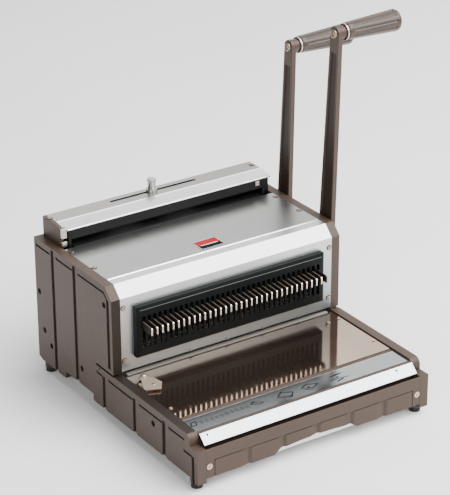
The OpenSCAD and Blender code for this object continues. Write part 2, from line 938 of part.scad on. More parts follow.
left_side_plate();
right_side_plate();
base_pan();
front_panel();
rear_cover();
front_sheet();
top_cover();
badge();
hook_frame();
wire_hooks();
hook_rack_bar();
paper_table();
mirror_panel();
instruction_label();
table_trim();
paper_rail();
punch_die();
guide_plate();
paper_stop();
closer_cover();
closer_bracket_left();
closer_bracket_right();
closer_lower_jaw();
shaft_bushes();
tie_rods();
drawer_rails();
side_screws();
cover_screws();
panel_screws();
closer_screws();
table_screws();
rubber_feet();
punch_springs();
closing_springs();
punch_lever();
punch_shaft();
punch_cams();
punch_spindle();
punch_nut();
punch_grip();
punch_bar();
punch_yokes();
punch_pins();
closing_lever();
closing_shaft();
closing_cranks();
closing_spindle();
closing_nut();
closing_grip();
upper_jaw();
jaw_end();
jaw_stops();
pull_rods();
waste_tray();
drawer_front();
slider_block();
slider_collar();
slider_knob();
edge_guide();
guide_fittings();
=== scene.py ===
"""Looks for a wire punching and closing machine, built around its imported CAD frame. Metres throughout."""
import json
import math

import bmesh
import bpy
from mathutils import Matrix, Vector


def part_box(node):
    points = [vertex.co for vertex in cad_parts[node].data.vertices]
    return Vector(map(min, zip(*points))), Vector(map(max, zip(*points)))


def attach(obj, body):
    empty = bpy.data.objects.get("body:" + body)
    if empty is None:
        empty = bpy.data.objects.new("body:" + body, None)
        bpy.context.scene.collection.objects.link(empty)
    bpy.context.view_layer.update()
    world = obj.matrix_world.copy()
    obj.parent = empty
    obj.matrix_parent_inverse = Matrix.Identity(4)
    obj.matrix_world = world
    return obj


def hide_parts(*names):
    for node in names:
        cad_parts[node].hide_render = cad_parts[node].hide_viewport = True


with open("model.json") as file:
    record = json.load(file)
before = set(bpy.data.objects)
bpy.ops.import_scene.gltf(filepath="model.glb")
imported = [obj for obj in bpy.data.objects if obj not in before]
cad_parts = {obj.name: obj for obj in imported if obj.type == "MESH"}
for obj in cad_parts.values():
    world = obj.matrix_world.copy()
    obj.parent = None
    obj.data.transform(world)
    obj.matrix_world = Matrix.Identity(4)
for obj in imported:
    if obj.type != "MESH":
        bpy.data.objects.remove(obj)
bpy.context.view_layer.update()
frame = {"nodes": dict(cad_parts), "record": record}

MM = 0.001
NODES = frame["nodes"]
BODY_OF = {n: body for body, members in frame["record"]["behaviour"]["bodies"].items() for n in members}
SLOT_OF = {s["node"]: s["material_slot"] for s in frame["record"]["subparts"]}


# ---------------------------------------------------------------- materials

class Shader:
    """A principled material with small helpers for its texture nodes."""

    def __init__(self, name, **constants):
        self.material = bpy.data.materials.new(name)
        self.material.use_nodes = True
        self.nodes = self.material.node_tree.nodes
        self.links = self.material.node_tree.links
        self.bsdf = self.nodes["Principled BSDF"]
        self.coords = self.nodes.new("ShaderNodeTexCoord")
        for socket, value in constants.items():
            self.bsdf.inputs[socket.replace("_", " ")].default_value = value

    def place(self, stretch):
        mapping = self.nodes.new("ShaderNodeMapping")
        mapping.inputs["Scale"].default_value = stretch
        self.links.new(self.coords.outputs["Object"], mapping.inputs["Vector"])
        return mapping.outputs["Vector"]

    def noise(self, scale, stretch=(1, 1, 1), detail=3.0, rough=0.55):
        node = self.nodes.new("ShaderNodeTexNoise")
        node.inputs["Scale"].default_value = scale
        node.inputs["Detail"].default_value = detail
        node.inputs["Roughness"].default_value = rough
        self.links.new(self.place(stretch), node.inputs["Vector"])
        return node.outputs["Fac"]

    def axis(self, letter):
        """The object coordinate along one axis, in metres."""
        split = self.nodes.new("ShaderNodeSeparateXYZ")
        self.links.new(self.coords.outputs["Object"], split.inputs["Vector"])
        return split.outputs[letter]

    def ramp(self, factor, stops):
        node = self.nodes.new("ShaderNodeValToRGB")
        elements = node.color_ramp.elements
        while len(elements) < len(stops):
            elements.new(0.5)
        for element, (at, colour) in zip(elements, stops):
            element.position = at
            element.color = (*colour, 1)
        self.links.new(factor, node.inputs["Fac"])
        return node.outputs["Color"]

    def spread(self, factor, low, high, start=0.3, end=0.7):
        node = self.nodes.new("ShaderNodeMapRange")
        node.inputs["From Min"].default_value = start
        node.inputs["From Max"].default_value = end
        node.inputs["To Min"].default_value = low
        node.inputs["To Max"].default_value = high
        self.links.new(factor, node.inputs["Value"])
        return node.outputs["Result"]

    def blend(self, factor, a, b, mode="MIX"):
        node = self.nodes.new("ShaderNodeMix")
        node.data_type = "RGBA"
        node.blend_type = mode
        node.inputs["Factor"].default_value = factor
        self.links.new(a, node.inputs["A"])
        self.links.new(b, node.inputs["B"])
        return node.outputs["Result"]

    def colour(self, output):
        self.links.new(output, self.bsdf.inputs["Base Color"])

    def rough(self, output):
        self.links.new(output, self.bsdf.inputs["Roughness"])

    def bump(self, height, strength, distance):
        node = self.nodes.new("ShaderNodeBump")
        node.inputs["Strength"].default_value = strength
        node.inputs["Distance"].default_value = distance
        previous = self.bsdf.inputs["Normal"].links
        if previous:
            self.links.new(previous[0].from_socket, node.inputs["Normal"])
        self.links.new(height, node.inputs["Height"])
        self.links.new(node.outputs["Normal"], self.bsdf.inputs["Normal"])


def tone(colour, gain):
    return tuple(min(1.0, c * gain) for c in colour)


def powder_paint(name, colour, rough=0.4, metallic=0.35, coat=0.15, grain=1500.0):
    """Metallic powder paint: fine flake, faint cloudiness and an orange-peel surface."""
    s = Shader(name, Metallic=metallic, Coat_Weight=coat, Coat_Roughness=0.25, Specular_IOR_Level=0.28)
    flake = s.ramp(s.noise(grain, detail=2.0), [(0.3, tone(colour, 0.86)), (0.7, tone(colour, 1.14))])
    cloud = s.ramp(s.noise(9.0, detail=4.0), [(0.3, tone(colour, 0.93)), (0.7, tone(colour, 1.07))])
    s.colour(s.blend(0.5, flake, cloud))
    s.rough(s.spread(s.noise(400.0), rough - 0.05, rough + 0.07))
    s.bump(s.noise(620.0, detail=2.0), 0.12, 0.0002)
    return s.material


def brushed_metal(name, colour, rough=0.3, along="X", metallic=1.0, streak=0.06, depth=0.05):
    """Sheet metal brushed along one axis."""
    stretch = tuple(0.012 if axis == along else 1.0 for axis in "XYZ")
    s = Shader(name, Metallic=metallic)
    lines = s.noise(1400.0, stretch, detail=5.0, rough=0.7)
    fine = s.ramp(lines, [(0.25, tone(colour, 1 - streak)), (0.75, tone(colour, 1 + streak))])
    cloud = s.ramp(s.noise(6.0), [(0.3, tone(colour, 0.96)), (0.7, tone(colour, 1.03))])
    s.colour(s.blend(0.4, fine, cloud))
    s.rough(s.spread(lines, rough - 0.06, rough + 0.08))
    s.bump(lines, depth, 0.0001)
    return s.material


def sheet_metal(name, upper, lower):
    """The front sheet's brushed metal, with painted shade that makes it cooler and darker toward its foot, where it
    meets the table.
    """
    s = Shader(name, Metallic=0.85)
    lines = s.noise(1400.0, (0.012, 1.0, 1.0), detail=5.0, rough=0.7)
    # painted shade: the colour darkens from the upper tone to the lower one between these heights
    rise = s.spread(s.axis("Z"), 0.0, 1.0, start=0.085, end=0.185)
    foot_shade = s.ramp(rise, [(0.0, lower), (1.0, upper)])
    fine = s.ramp(lines, [(0.25, (0.97, 0.97, 0.97)), (0.75, (1.0, 1.0, 1.0))])
    s.colour(s.blend(1.0, foot_shade, fine, "MULTIPLY"))
    s.rough(s.spread(lines, 0.27, 0.38))
    s.bump(lines, 0.005, 0.0001)
    return s.material


def groove_shade_paint(name, colour, outer=0.188, depth=0.003):
    """The casing's paint with painted shade in its recesses: darker the deeper a point lies below the plate's outer
    face.
    """
    s = Shader(name, Metallic=0.1)
    size = s.nodes.new("ShaderNodeMath")
    size.operation = "ABSOLUTE"
    s.links.new(s.axis("X"), size.inputs[0])
    level = s.spread(size.outputs["Value"], 0.0, 1.0, start=outer - depth, end=outer)
    paint = s.ramp(s.noise(1500.0, detail=2.0), [(0.3, tone(colour, 0.86)), (0.7, tone(colour, 1.14))])
    # painted shade: the deeper below the outer face, the darker the paint
    depth_shade = s.ramp(level, [(0.0, (0.22, 0.22, 0.22)), (0.5, (0.55, 0.55, 0.55)), (1.0, (1.0, 1.0, 1.0))])
    s.colour(s.blend(1.0, paint, depth_shade, "MULTIPLY"))
    s.rough(s.spread(s.noise(400.0), 0.45, 0.6))
    s.bump(s.noise(620.0, detail=2.0), 0.12, 0.0002)
    return s.material


def polished_metal(name, colour, rough=0.08, metallic=1.0):
    """Polished metal with faint wiping marks."""
    s = Shader(name, Metallic=metallic)
    wipe = s.noise(55.0, (0.25, 1.0, 1.0), detail=5.0, rough=0.65)
    s.colour(s.ramp(wipe, [(0.3, tone(colour, 0.97)), (0.7, tone(colour, 1.03))]))
    s.rough(s.spread(wipe, rough * 0.7, rough * 1.5))
    s.bump(s.noise(30.0, detail=1.0), 0.02, 0.0004)
    return s.material


def mirror_sheet(name, colour):
    """Bronze-toned mirror sheet, with painted shade that deepens its tone toward its right end."""
    s = Shader(name, Metallic=0.965, Specular_IOR_Level=0.2)
    wipe = s.noise(55.0, (0.25, 1.0, 1.0), detail=5.0, rough=0.65)
    # painted shade along X toward the right end
    along = s.spread(s.axis("X"), 0.0, 1.0, start=-0.02, end=0.14)
    right_end_shade = s.ramp(along, [(0.0, colour), (1.0, tone(colour, 0.6))])
    faint = s.ramp(wipe, [(0.3, (0.95, 0.95, 0.95)), (0.7, (1.0, 1.0, 1.0))])
    s.colour(s.blend(1.0, right_end_shade, faint, "MULTIPLY"))
    s.rough(s.spread(wipe, 0.05, 0.1))
    s.bump(s.noise(30.0, detail=1.0), 0.02, 0.0004)
    return s.material


def moulded_plastic(name, colour, rough=0.42, specular=0.5, grain=1100.0, depth=0.12):
    """Moulded plastic with a spark-eroded skin."""
    s = Shader(name, Specular_IOR_Level=specular)
    skin = s.noise(grain, detail=3.0)
    s.colour(s.ramp(s.noise(25.0), [(0.3, tone(colour, 0.85)), (0.7, tone(colour, 1.18))]))
    s.rough(s.spread(skin, rough - 0.06, rough + 0.08))
    s.bump(skin, depth, 0.00012)
    return s.material


def glossy_grip(name, colour):
    """Glossy moulded handle with soft mottling under a clear skin."""
    s = Shader(name, Roughness=0.3, Coat_Weight=0.15, Coat_Roughness=0.15, Specular_IOR_Level=0.3)
    mottle = s.noise(260.0, (0.06, 1.0, 1.0), detail=5.0, rough=0.6)
    s.colour(s.ramp(mottle, [(0.3, tone(colour, 0.55)), (0.7, tone(colour, 1.5))]))
    s.rough(s.spread(s.noise(240.0), 0.26, 0.38))
    s.bump(s.noise(380.0, detail=2.0), 0.06, 0.0002)
    return s.material


def label_film(name, colour):
    """Silvery film that softly mirrors what stands behind it, darker over its printed part."""
    s = Shader(name, Metallic=0.85)
    speck = s.noise(700.0, detail=2.0)
    band = s.noise(14.0, (1.0, 2.0, 1.0), detail=3.0)
    print_area = s.spread(s.axis("X"), 0.0, 1.0, start=0.035, end=0.075)
    tint = s.ramp(print_area, [(0.0, tone(colour, 0.21)), (1.0, tone(colour, 0.52))])
    wide = s.ramp(band, [(0.3, (0.8, 0.8, 0.8)), (0.7, (1.0, 1.0, 1.0))])
    s.colour(s.blend(1.0, tint, wide, "MULTIPLY"))
    s.rough(s.spread(speck, 0.1, 0.18))
    s.bump(speck, 0.01, 0.00003)
    return s.material


def rubber(name, colour):
    s = Shader(name, Specular_IOR_Level=0.35)
    skin = s.noise(900.0)
    s.colour(s.ramp(skin, [(0.3, tone(colour, 0.7)), (0.7, tone(colour, 1.5))]))
    s.rough(s.spread(s.noise(200.0), 0.6, 0.8))
    s.bump(skin, 0.25, 0.0002)
    return s.material


def studio_floor(name):
    s = Shader(name, Specular_IOR_Level=0.15)
    s.colour(s.ramp(s.noise(3.0), [(0.3, (0.94, 0.94, 0.94)), (0.7, (0.97, 0.97, 0.97))]))
    s.rough(s.spread(s.noise(80.0), 0.7, 0.85))
    return s.material


BROWN = (0.064, 0.042, 0.031)
MATERIALS = {
    "brown_paint": powder_paint("brown_paint", BROWN, rough=0.45, metallic=0.1, coat=0.0),
    # the brown with painted shade that darkens the side plates' recesses
    "groove_shade_paint": groove_shade_paint("groove_shade_paint", BROWN),
    "dark_paint": powder_paint("dark_paint", (0.02, 0.018, 0.016), rough=0.4, metallic=0.1, coat=0.05),
    "lever_paint": powder_paint("lever_paint", tone(BROWN, 0.95), rough=0.4, metallic=0.2, coat=0.05),
    # a darker copy of the lever's brown: painted shade on its recessed web
    "lever_web_shade": powder_paint("lever_web_shade", tone(BROWN, 0.5), rough=0.5, metallic=0.1, coat=0.0),
    # a darker copy of the brown: painted shade on the left plate's front edge
    "edge_shade": powder_paint("edge_shade", tone(BROWN, 0.26), rough=0.5, metallic=0.1, coat=0.0),
    "cover_metal": brushed_metal("cover_metal", (0.35, 0.35, 0.345), rough=0.33, streak=0.03, depth=0.015),
    # darker and cooler toward its foot: painted shade
    "sheet_metal": sheet_metal("sheet_metal", (0.57, 0.58, 0.58), (0.27, 0.315, 0.335)),
    # a white copy of the brushed metal: painted highlight on seams, folds and lips
    "seam_highlight": brushed_metal("seam_highlight", (1.0, 1.0, 1.0), rough=0.3, streak=0.02, depth=0.01),
    "closer_aluminium": brushed_metal("closer_aluminium", (0.37, 0.36, 0.35), rough=0.3, streak=0.12, depth=0.03),
    # a lighter copy of the closer's aluminium: painted highlight on the cover's front slope
    "closer_slope_highlight": brushed_metal("closer_slope_highlight", (0.54, 0.535, 0.53), rough=0.28, streak=0.05, depth=0.02),
    "black_plastic": moulded_plastic("black_plastic", (0.0035, 0.0045, 0.0045), specular=0.1),
    "hook_steel": brushed_metal("hook_steel", (0.034, 0.025, 0.018), rough=0.4, along="Y", metallic=0.4),
    # lighter copies of the hook steel: painted highlights on the hook tops and tips
    "hook_top_highlight": brushed_metal("hook_top_highlight", (0.10, 0.082, 0.064), rough=0.4, along="Y", metallic=0.4),
    "hook_tip_highlight": brushed_metal("hook_tip_highlight", (0.82, 0.77, 0.7), rough=0.3, along="Z"),
    "tool_steel": brushed_metal("tool_steel", (0.38, 0.39, 0.4), rough=0.35),
    "zinc_steel": brushed_metal("zinc_steel", (0.66, 0.66, 0.65), rough=0.33),
    "spring_steel": polished_metal("spring_steel", (0.42, 0.42, 0.43), rough=0.25),
    # darker toward its right end: painted shade
    "mirror_steel": mirror_sheet("mirror_steel", (0.39, 0.285, 0.225)),
    "label_film": label_film("label_film", (0.42, 0.445, 0.455)),
    "bright_trim": brushed_metal("bright_trim", (0.47, 0.485, 0.51), rough=0.2, streak=0.03, depth=0.02),
    "rail_steel": brushed_metal("rail_steel", (0.30, 0.285, 0.24), rough=0.45, metallic=0.45),
    "ring_steel": polished_metal("ring_steel", (0.50, 0.44, 0.38), rough=0.3),
    "stop_steel": brushed_metal("stop_steel", (0.60, 0.55, 0.49), rough=0.35),
    "knob_steel": polished_metal("knob_steel", (0.50, 0.51, 0.48), rough=0.3),
    "frame_glint": moulded_plastic("frame_glint", (0.09, 0.095, 0.095), rough=0.35, depth=0.03),
    "bush_brass": brushed_metal("bush_brass", (0.65, 0.45, 0.18), rough=0.3),
    "pale_screws": polished_metal("pale_screws", (0.62, 0.45, 0.33), rough=0.35),
    "dark_screws": polished_metal("dark_screws", (0.06, 0.055, 0.05), rough=0.35),
    "foot_rubber": rubber("foot_rubber", (0.014, 0.014, 0.014)),
    "grip_plastic": glossy_grip("grip_plastic", (0.046, 0.031, 0.022)),
    "nut_bronze": polished_metal("nut_bronze", (0.34, 0.27, 0.21), rough=0.3),
    "worn_screws": polished_metal("worn_screws", (0.5, 0.49, 0.47), rough=0.25),
    "jaw_black": moulded_plastic("jaw_black", (0.006, 0.0065, 0.0065), rough=0.4, specular=0.2, depth=0.05),
    "badge_enamel": moulded_plastic("badge_enamel", (0.32, 0.006, 0.012), rough=0.5, specular=0.1, depth=0.03),
    "badge_rim": polished_metal("badge_rim", (0.75, 0.75, 0.76), rough=0.2),
    "guide_bronze": powder_paint("guide_bronze", (0.42, 0.35, 0.28), rough=0.35, metallic=0.5),
    # black for printed marks and the badge plate, and painted shade in the knob's slot, the screw recesses and
    # round the screw heads
    "ink_and_painted_shade": moulded_plastic("ink_and_painted_shade", (0.004, 0.0045, 0.005), rough=0.5, specular=0.04, depth=0.02),
}


# ---------------------------------------------------------------- mesh helpers

def add_object(name, mesh, body, slot, material=None):
    """Links a finished mesh, gives it its material and lets it ride on its body."""
    piece = bpy.data.objects.new(name, mesh)
    bpy.context.scene.collection.objects.link(piece)
    if not mesh.materials:
        mesh.materials.append(MATERIALS[material or slot])
    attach(piece, body)
    return piece


def smooth(mesh):
    mesh.shade_smooth()
    mesh.set_sharp_from_angle(angle=math.radians(33.0))


def to_mesh(bm, name):
    """Turns a finished bmesh into a mesh and frees it."""
    mesh = bpy.data.meshes.new(name)
    bm.to_mesh(mesh)
    bm.free()
    return mesh


def bridge(bm, ring, other):
    """Joins two closed rings of vertices with a band of faces."""
    count = len(ring)
    for k in range(count):
        n = (k + 1) % count
        bm.faces.new((ring[k], ring[n], other[n], other[k]))


def weigh_normals(piece):
    modifier = piece.modifiers.new("normals", "WEIGHTED_NORMAL")
    modifier.keep_sharp = True
    modifier.weight = 80


def bevel_sharp(bm, width, segments):
    """Rounds every sharp edge."""
    limit = math.radians(28.0)
    edges = [e for e in bm.edges if len(e.link_faces) == 2 and e.calc_face_angle(0) > limit]
    bmesh.ops.bevel(bm, geom=edges, offset=width, offset_type="OFFSET", segments=segments,
                    profile=0.6, affect="EDGES", clamp_overlap=True)


def cad_bmesh(node):
    """A clean copy of a CAD node's mesh: welded, and with its flat faces whole again."""
    bm = bmesh.new()
    bm.from_mesh(NODES[node].data)
    bmesh.ops.remove_doubles(bm, verts=bm.verts, dist=2e-6)
    bmesh.ops.dissolve_limit(bm, angle_limit=math.radians(0.4), verts=bm.verts, edges=bm.edges)
    return bm


def finish_node(node, bevel=0.4, segments=2, material=None, cuts=()):
    """Stands a bevelled copy of a CAD node in its place, with its material. cuts are (axis, place in mm)."""
    bm = cad_bmesh(node)
    if bevel:
        bevel_sharp(bm, bevel * MM, segments)
    for axis, place in cuts:
        normal = Vector([float(axis == letter) for letter in "XYZ"])
        bmesh.ops.bisect_plane(bm, geom=bm.verts[:] + bm.edges[:] + bm.faces[:], plane_co=normal * place * MM,
                               plane_no=normal)
    mesh = to_mesh(bm, node + ".finish")
    smooth(mesh)
    piece = add_object(node + ".finish", mesh, BODY_OF[node], SLOT_OF[node], material)
    weigh_normals(piece)
    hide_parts(node)
    return piece


def repaint(piece, material, chosen):
    """Gives another material to the faces that chosen(centre in mm, normal, area) picks."""
    piece.data.materials.append(MATERIALS[material])
    slot = len(piece.data.materials) - 1
    for face in piece.data.polygons:
        if chosen(face.center / MM, face.normal, face.area):
            face.material_index = slot


def paint_node(node):
    """A CAD node that keeps its own mesh gets the better material."""
    mesh = NODES[node].data
    mesh.materials.clear()
    mesh.materials.append(MATERIALS[SLOT_OF[node]])


def lathe(name, profile, segments, place, body, slot, material=None, radius_at=None):
    """Turns [(radius, height), ...] round Z and puts it at the matrix place. radius_at bends a ring's radius."""
    bm = bmesh.new()
    rings = []
    for radius, height in profile:
        ring = []
        for k in range(segments):
            a = 2 * math.pi * k / segments
            r = radius_at(radius, height, a) if radius_at else radius
            ring.append(bm.verts.new((r * math.cos(a), r * math.sin(a), height)))
        rings.append(ring)
    for low, high in zip(rings, rings[1:]):
        bridge(bm, low, high)
    bm.faces.new(list(reversed(rings[0])))
    bm.faces.new(rings[-1])
    bmesh.ops.recalc_face_normals(bm, faces=bm.faces)
    mesh = to_mesh(bm, name)
    mesh.transform(place)
    smooth(mesh)
    return add_object(name, mesh, body, slot, material)


def centre_of(node):
    low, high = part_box(node)
    return (low + high) / 2


def extrude_outline(bm, outline, low, high):
    """Adds a closed prism over an outline of (x, y) points in mm, between two heights in mm."""
    bottom = [bm.verts.new((x * MM, y * MM, low * MM)) for x, y in outline]
    top = [bm.verts.new((x * MM, y * MM, high * MM)) for x, y in outline]
    bm.faces.new(list(reversed(bottom)))
    bm.faces.new(top)
    bridge(bm, bottom, top)


def stroke_outline(a, b, width):
    """The four corners of a straight stroke, in the unit of its ends."""
    direction = (Vector(b) - Vector(a)).normalized()
    side = Vector((-direction.y, direction.x)) * (width / 2)
    return [tuple(Vector(a) - side), tuple(Vector(b) - side), tuple(Vector(b) + side), tuple(Vector(a) + side)]


def print_marks(name, strokes, fills, height, slot, material, depth=0.03):
    """Printed marks on the casing: strokes are (points, width) and fills are outlines, all in mm."""
    bm = bmesh.new()
    for points, width in strokes:
        for a, b in zip(points, points[1:]):
            extrude_outline(bm, stroke_outline(a, b, width), height, height + depth)
    for outline in fills:
        extrude_outline(bm, outline, height, height + depth)
    bmesh.ops.recalc_face_normals(bm, faces=bm.faces)
    add_object(name, to_mesh(bm, name), "casing", slot, material)


def screw_head(name, place, axis, radius, height, turn, slot="pale_screws", cross=True, material=None, seat=False):
    """A domed screw head on a face of the casing, with a recess across it drawn in painted shade and perhaps a ring
    of painted shadow round it.
    """
    rings = [(radius * math.sin(math.radians(a)), height * math.cos(math.radians(a))) for a in range(90, 10, -10)]
    turned = Vector(axis).to_track_quat("Z", "Y").to_matrix().to_4x4()
    matrix = Matrix.Translation(Vector(place)) @ turned @ Matrix.Rotation(turn, 4, "Z")
    lathe(name, [(radius * 0.96, -0.2 * height)] + rings, 32, matrix, "casing", slot, material)
    # painted shadow: a thin black disc just under and round the head
    if seat:
        edge = radius * 1.28
        lathe(name + ".seat", [(edge, 0.0), (edge, 0.12 * MM)], 32, matrix, "casing", slot, "ink_and_painted_shade")
    # painted shade: the recess is drawn as black strokes across the head
    bm = bmesh.new()
    arm = radius * 0.62
    arms = [((-arm, 0), (arm, 0))]
    if cross:
        arms.append(((0, -arm), (0, arm)))
    for a, b in arms:
        outline = stroke_outline(Vector(a) / MM, Vector(b) / MM, radius / MM * 0.26)
        extrude_outline(bm, outline, height / MM * 0.45, height / MM * 1.03)
    mesh = to_mesh(bm, name + ".recess")
    mesh.transform(matrix)
    add_object(name + ".recess", mesh, "casing", slot, "ink_and_painted_shade")


# ---------------------------------------------------------------- pieces

def build_casing():
    groove_floor, groove_brim = 184.0, 187.15
    front_y, arm_top = 2.0, 66.0
    front_foot = 72.0
    for node in ("left_side_plate", "right_side_plate"):
        plate = finish_node(node, bevel=0.9, segments=3)
        # the recessed faces of the plate get the brown with painted shade
        repaint(plate, "groove_shade_paint", lambda c, n, area: groove_floor < abs(c.x) < groove_brim)
        if node == "left_side_plate":
            # painted shade: the left plate's front face and the top of its arm get a darker copy of the brown
            repaint(plate, "edge_shade", lambda c, n, area: n.y < -0.9 and abs(c.y) < front_y and c.z > front_foot)
            repaint(plate, "edge_shade", lambda c, n, area: n.z > 0.9 and c.y < -front_y and c.z > arm_top)
    finish_node("front_panel", bevel=0.35)
    finish_node("drawer_front", bevel=0.35)
    finish_node("rear_cover", bevel=0.4)
    finish_node("paper_table", bevel=0.3)
    finish_node("front_sheet", bevel=0.3, material="sheet_metal")
    finish_node("top_cover", bevel=0.7, material="cover_metal")
    finish_node("base_pan", bevel=0.3)
    build_seam()


def build_seam():
    """The rolled edge of the top cover where it laps the front sheet, in white metal as a painted highlight."""
    low, high = (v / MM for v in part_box("top_cover"))
    bm = bmesh.new()
    ridge = [(low.y - 1.0, high.z - 0.05), (low.y + 0.3, high.z + 0.8), (low.y + 1.1, high.z + 0.8),
             (low.y + 1.9, high.z - 0.05)]
    ends = [[bm.verts.new((x * MM, y * MM, z * MM)) for y, z in ridge] for x in (low.x + 0.5, high.x - 0.5)]
    bridge(bm, ends[0], ends[1])
    bm.faces.new(ends[0])
    bm.faces.new(list(reversed(ends[1])))
    bmesh.ops.recalc_face_normals(bm, faces=bm.faces)
    add_object("top_seam", to_mesh(bm, "top_seam"), "casing", SLOT_OF["top_cover"], "seam_highlight")


def build_closer():
    """The wire closer under its folded cover, and the size knob on it."""
    slot_y, slot_half, slot_reach = 195.0, 3.2, 73.0
    fold_y, crest, lip_y = 177.0, 1.5, 154.6
    end_x, end_y = -168.5, 165.0
    cover = finish_node("closer_cover", bevel=0.3,
                        cuts=[("Y", fold_y - crest), ("Y", fold_y + crest), ("X", end_x)])
    # painted highlight: the cover's front slope gets a lighter copy of its aluminium
    repaint(cover, "closer_slope_highlight", lambda c, n, area: n.z > 0.7 and c.y < fold_y)
    repaint(cover, "brown_paint", lambda c, n, area: n.z > -0.3 and c.y > end_y and c.x < end_x)
    # painted highlight on the closer cover's lip and along its fold crest
    repaint(cover, "seam_highlight", lambda c, n, area: c.x > end_x and n.z > -0.3 and
            (c.y < lip_y or abs(c.y - fold_y) < crest))
    # painted shade: the walls of the knob's slot are coloured black
    repaint(cover, "ink_and_painted_shade", lambda c, n, area: abs(n.z) < 0.6 and abs(c.y - slot_y) < slot_half and
            abs(c.x) < slot_reach)
    finish_node("closer_bracket_left", bevel=0.5)
    finish_node("closer_bracket_right", bevel=0.5)
    finish_node("closer_lower_jaw", bevel=0.6)
    finish_node("upper_jaw", bevel=0.8)
    finish_node("jaw_end", bevel=0.6, material="ring_steel")
    finish_node("jaw_stops", bevel=0.6, material="stop_steel")
    finish_node("pull_rods", bevel=0.4)
    finish_node("slider_collar", bevel=0.5, material="knob_steel")
    build_knob()


def build_knob():
    """The clamp knob, with knurling round its head."""
    node, ribs = "slider_knob", 24
    low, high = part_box(node)
    radius = (high.x - low.x) / 2
    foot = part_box("slider_collar")[1].z
    waist, tall = radius * 0.87, high.z - foot
    profile = [(waist * 0.97, 0.0), (waist, 0.0004), (waist, tall * 0.62), (radius, tall * 0.69),
               (radius, tall * 0.94), (radius * 0.9, tall), (radius * 0.3, tall)]

    def knurl(r, height, angle):
        return r * (1 - 0.05 * (height > tall * 0.65) * (0.5 + 0.5 * math.cos(ribs * angle)))

    place = Matrix.Translation(((low.x + high.x) / 2, (low.y + high.y) / 2, foot))
    piece = lathe(node + ".finish", profile, 6 * ribs, place, BODY_OF[node], SLOT_OF[node], "knob_steel", knurl)
    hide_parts(node)


def build_label_marks():
    """Plain outlines, bars and rows of dashes that stand for nothing, and a painted highlight along the rear edge.
    """
    low, high = (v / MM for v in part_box("instruction_label"))
    height = high.z
    thick, middling, thin = 2.2, 1.8, 1.5
    strokes = [
        ([(-171, -168), (-167, -159), (-159, -159), (-163, -168), (-171, -168)], thin),
        ([(-75, -162), (-69, -159), (-56, -165), (-62, -168), (-75, -162)], thin),
        ([(-72, -159), (-66, -158.5)], thick),
        ([(-34, -166), (-23, -157.5), (-9, -165), (-17, -175), (-34, -166)], thin),
        ([(-25, -158), (-21, -156.5)], middling),
        ([(6, -164), (17, -158), (32, -165), (21, -171), (6, -164)], thin),
        ([(8, -169), (19, -174)], thin),
        ([(56, -160), (76, -158)], thick),
        ([(52, -168), (80, -171)], thin),
        ([(58, -175), (70, -172)], thick),
    ]
    fills = [[(13, -168), (17, -163.5), (18, -167)], [(-19, -173), (-15, -170), (-15, -174)],
             [(60, -166), (66, -163), (67, -166.5)]]
    rows, row_pitch, dash, dash_pitch, dash_width = 3, 2.6, 5.0, 8, 0.9
    for row in range(rows):
        y = -161.5 - row_pitch * row
        for x in range(-156, -82, dash_pitch):
            strokes.append(([(x, y), (x + dash, y)], dash_width))
    print_marks("label_marks", strokes, fills, height, "label_film", "ink_and_painted_shade")
    # painted highlight: a bright strip along the label's rear edge
    edge = [(low.x + 0.5, high.y - 0.6), (high.x - 0.5, high.y - 0.6)]
    print_marks("label_edge_highlight", [(edge, 1.0)], [], height, "label_film", "bright_trim", depth=0.05)


def build_badge():
    """A plain two-tone emblem: dark plate, red field, pale rim."""
    low, high = (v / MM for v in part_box("badge"))
    top = high.z
    mid = low.y + (high.y - low.y) * 0.42
    finish_node("badge", bevel=0, material="ink_and_painted_shade")
    field = [(low.x + 1, mid), (high.x - 1, mid), (high.x - 1, high.y - 1), (low.x + 1, high.y - 1)]
    print_marks("badge_field", [], [field], top, "badge_enamel", "badge_enamel")
    rim = [(low.x + 0.5, low.y + 0.5), (high.x - 0.5, low.y + 0.5), (high.x - 0.5, high.y - 0.5),
           (low.x + 0.5, high.y - 0.5), (low.x + 0.5, low.y + 0.5)]
    bar = [(low.x + 5, mid), (high.x - 5, mid)]
    print_marks("badge_rim", [(rim, 0.7), (bar, 1.6)], [], top, "badge_enamel", "badge_rim", depth=0.05)


def build_screws():
    """Domed heads over the plain CAD heads."""
    sheet_x, panel_x = 0.170, 0.1694
    front_y, panel_y = -0.0004, -0.2068
    top_z, closer_z = 0.2059, 0.2350
    # these heads also get a ring of painted shadow round them
    worn = {"material": "worn_screws", "seat": True}
    for row, z in enumerate((0.175, 0.096)):
        for side in (-1, 1):
            screw_head("front_screw.%d.%d" % (row, side + 1), (side * sheet_x, front_y, z), (0, -1, 0), 3.1 * MM,
                       1.2 * MM, 0.4 * side + row, **worn)
    for row, y in enumerate((0.133, 0.074)):
        for side in (-1, 1):
            screw_head("top_screw.%d.%d" % (row, side + 1), (side * sheet_x, y, top_z), (0, 0, 1), 3.1 * MM,
                       1.2 * MM, 0.9 * side + row, **worn)
    for side in (-1, 1):
        screw_head("cover_screw.%d" % (side + 1), (side * sheet_x, 0.194, closer_z), (0, 0, 1), 3.3 * MM,
                   1.0 * MM, 0.5, **worn)
        screw_head("panel_screw.%d" % (side + 1), (side * panel_x, panel_y, 0.0335), (0, -1, 0), 4.4 * MM,
                   1.0 * MM, 0.8, cross=False)


